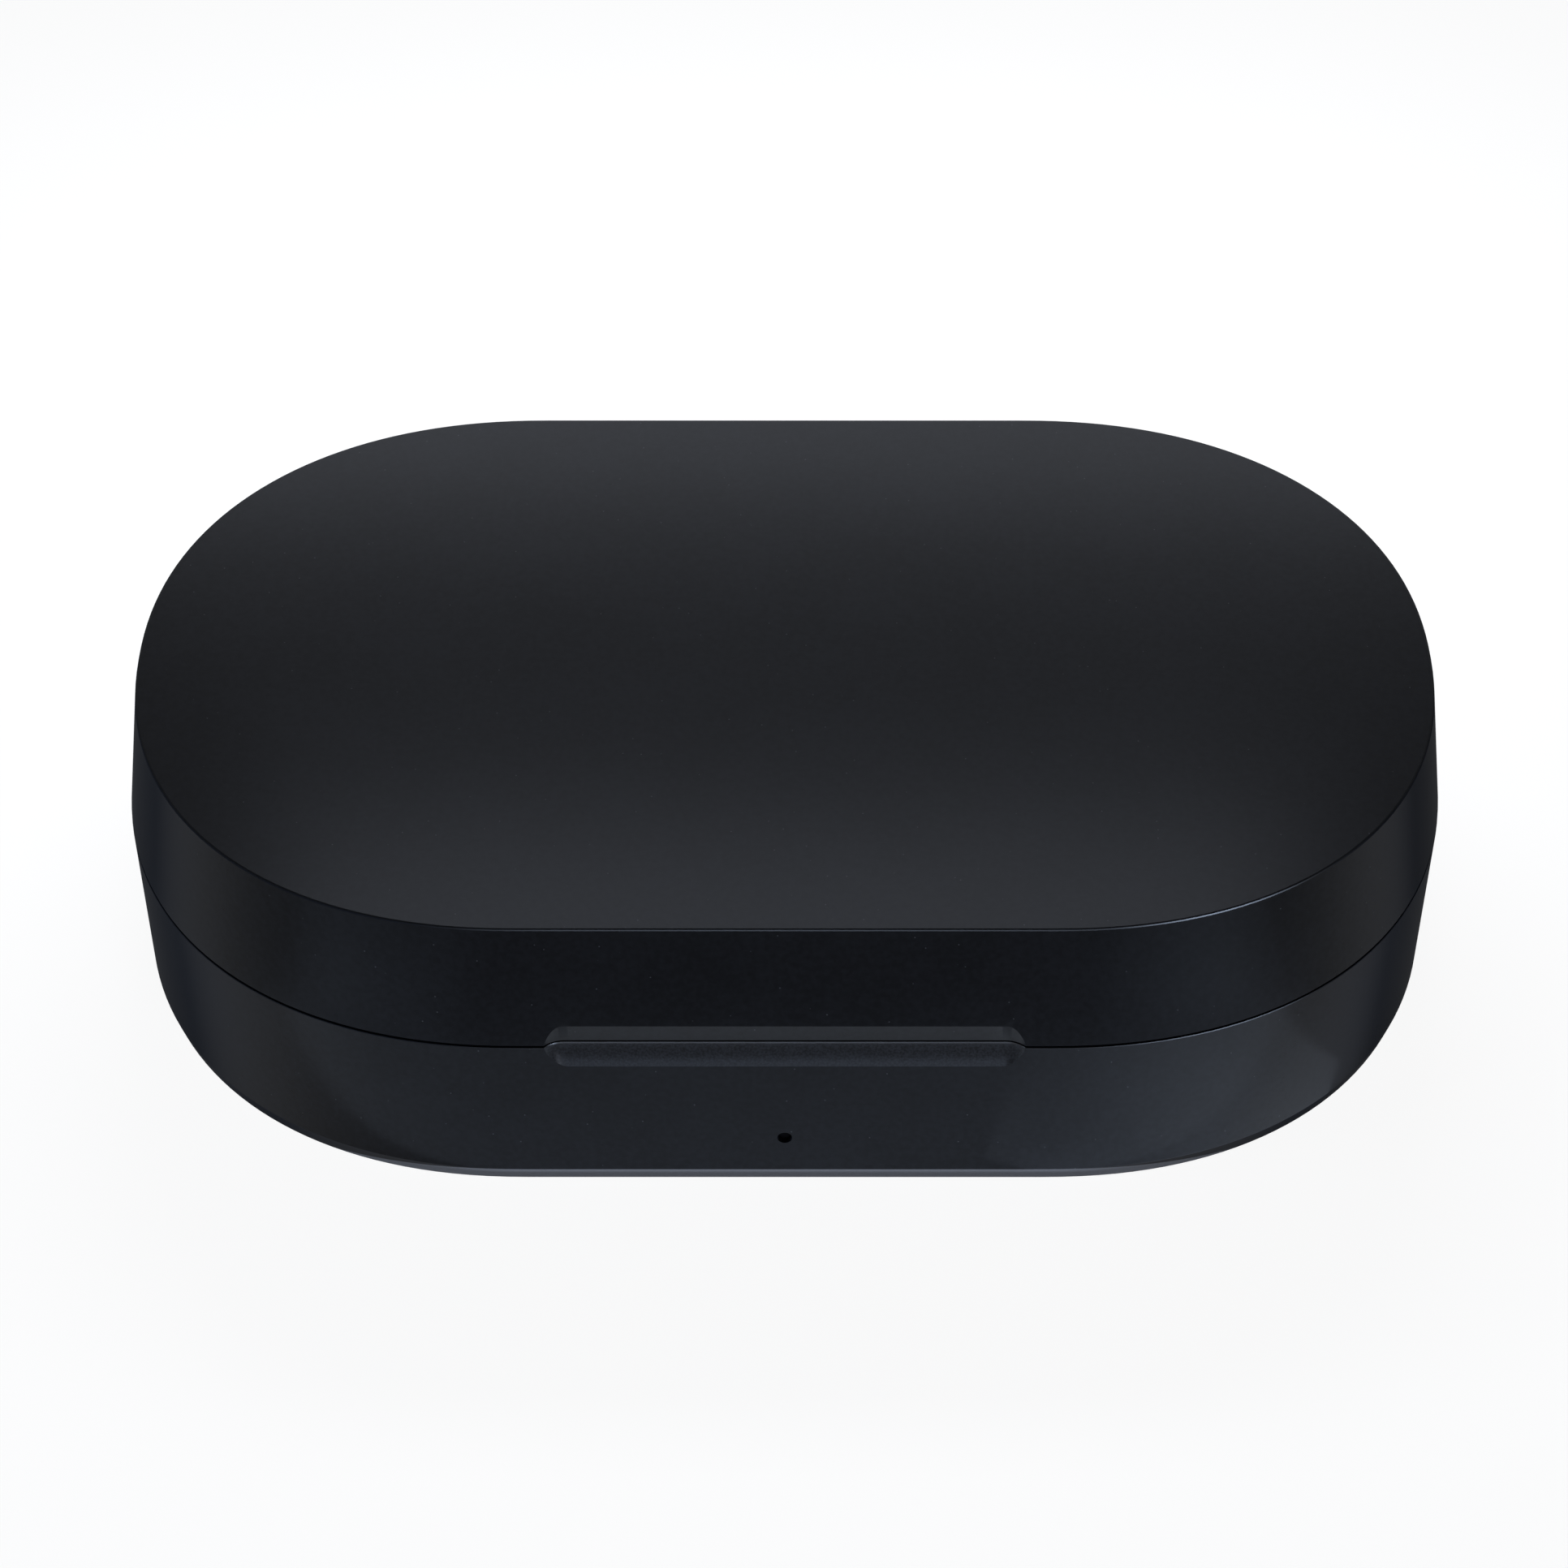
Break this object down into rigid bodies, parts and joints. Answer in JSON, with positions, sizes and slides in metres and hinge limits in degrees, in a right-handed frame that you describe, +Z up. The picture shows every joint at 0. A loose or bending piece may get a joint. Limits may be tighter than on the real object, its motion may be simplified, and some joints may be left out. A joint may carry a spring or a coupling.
{
  "type": "wireless earbuds case",
  "caption": "Flat pill-shaped charging case for wireless earbuds, with a hinged lid, a finger scoop, earbud wells with sprung contacts, and a charging socket at the back.",
  "frame": {"origin": "under the middle of the case, on the surface that it stands on", "axes": "+X along the case's length, -Y towards its front with the finger scoop, +Z up through the lid"},
  "size_m": [0.08, 0.0494, 0.0199],
  "materials": {
    "shell_black": "fine matte black plastic",
    "inner_black": "matte black plastic",
    "steel": "plain steel",
    "nickel": "nickel-plated magnet",
    "gold": "gold-plated brass",
    "board_green": "green solder mask on glass-fibre board",
    "chip_black": "moulded black plastic",
    "ferrite": "grey ferrite",
    "led_white": "pale LED package",
    "smoked_pipe": "smoked clear plastic",
    "cell_film": "silver pouch film",
    "pad_foam": "black foam tape",
    "lead_red": "red insulation",
    "lead_black": "black insulation"
  },
  "bodies": {
    "case": {"base_shell": "shell_black", "cradle_tray": "inner_black", "hinge_bracket": "inner_black", "hinge_pin": "steel", "left_hinge_screw": "steel", "right_hinge_screw": "steel", "main_board": "board_green", "charger_chip": "chip_black", "controller_chip": "chip_black", "power_inductor": "ferrite", "lid_sensor": "chip_black", "indicator_led": "led_white", "light_pipe": "smoked_pipe", "battery_cell": "cell_film", "battery_pad": "pad_foam", "positive_lead": "lead_red", "negative_lead": "lead_black", "socket_shell": "steel", "socket_tongue": "chip_black", "left_base_magnet": "nickel", "right_base_magnet": "nickel", "left_well_magnet": "nickel", "right_well_magnet": "nickel", "left_contact_block": "inner_black", "right_contact_block": "inner_black", "left_front_board_screw": "steel", "left_back_board_screw": "steel", "right_front_board_screw": "steel", "right_back_board_screw": "steel", "left_inner_spring": "steel", "left_outer_spring": "steel", "right_inner_spring": "steel", "right_outer_spring": "steel"},
    "lid": {"lid_shell": "shell_black", "lid_liner": "inner_black", "left_lid_magnet": "nickel", "right_lid_magnet": "nickel"},
    "left_inner_contact": {"left_inner_plunger": "gold"},
    "left_outer_contact": {"left_outer_plunger": "gold"},
    "right_inner_contact": {"right_inner_plunger": "gold"},
    "right_outer_contact": {"right_outer_plunger": "gold"}
  },
  "joints": [
    {"name": "lid_hinge", "type": "hinge", "parent": "case", "child": "lid", "pos_m": [0, 0.02285, 0.0144], "axis": [-1, 0, 0], "range_deg": [0, 100]},
    {"name": "left_inner_press", "type": "slide", "parent": "case", "child": "left_inner_contact", "axis": [0, 0, -1], "range_m": [0, 0.0008], "stiffness_N_per_m": 300, "springref_m": -0.0008, "deforming": ["left_inner_spring"]},
    {"name": "left_outer_press", "type": "slide", "parent": "case", "child": "left_outer_contact", "axis": [0, 0, -1], "range_m": [0, 0.0008], "stiffness_N_per_m": 300, "springref_m": -0.0008, "deforming": ["left_outer_spring"]},
    {"name": "right_inner_press", "type": "slide", "parent": "case", "child": "right_inner_contact", "axis": [0, 0, -1], "range_m": [0, 0.0008], "stiffness_N_per_m": 300, "springref_m": -0.0008, "deforming": ["right_inner_spring"]},
    {"name": "right_outer_press", "type": "slide", "parent": "case", "child": "right_outer_contact", "axis": [0, 0, -1], "range_m": [0, 0.0008], "stiffness_N_per_m": 300, "springref_m": -0.0008, "deforming": ["right_outer_spring"]}
  ]
}
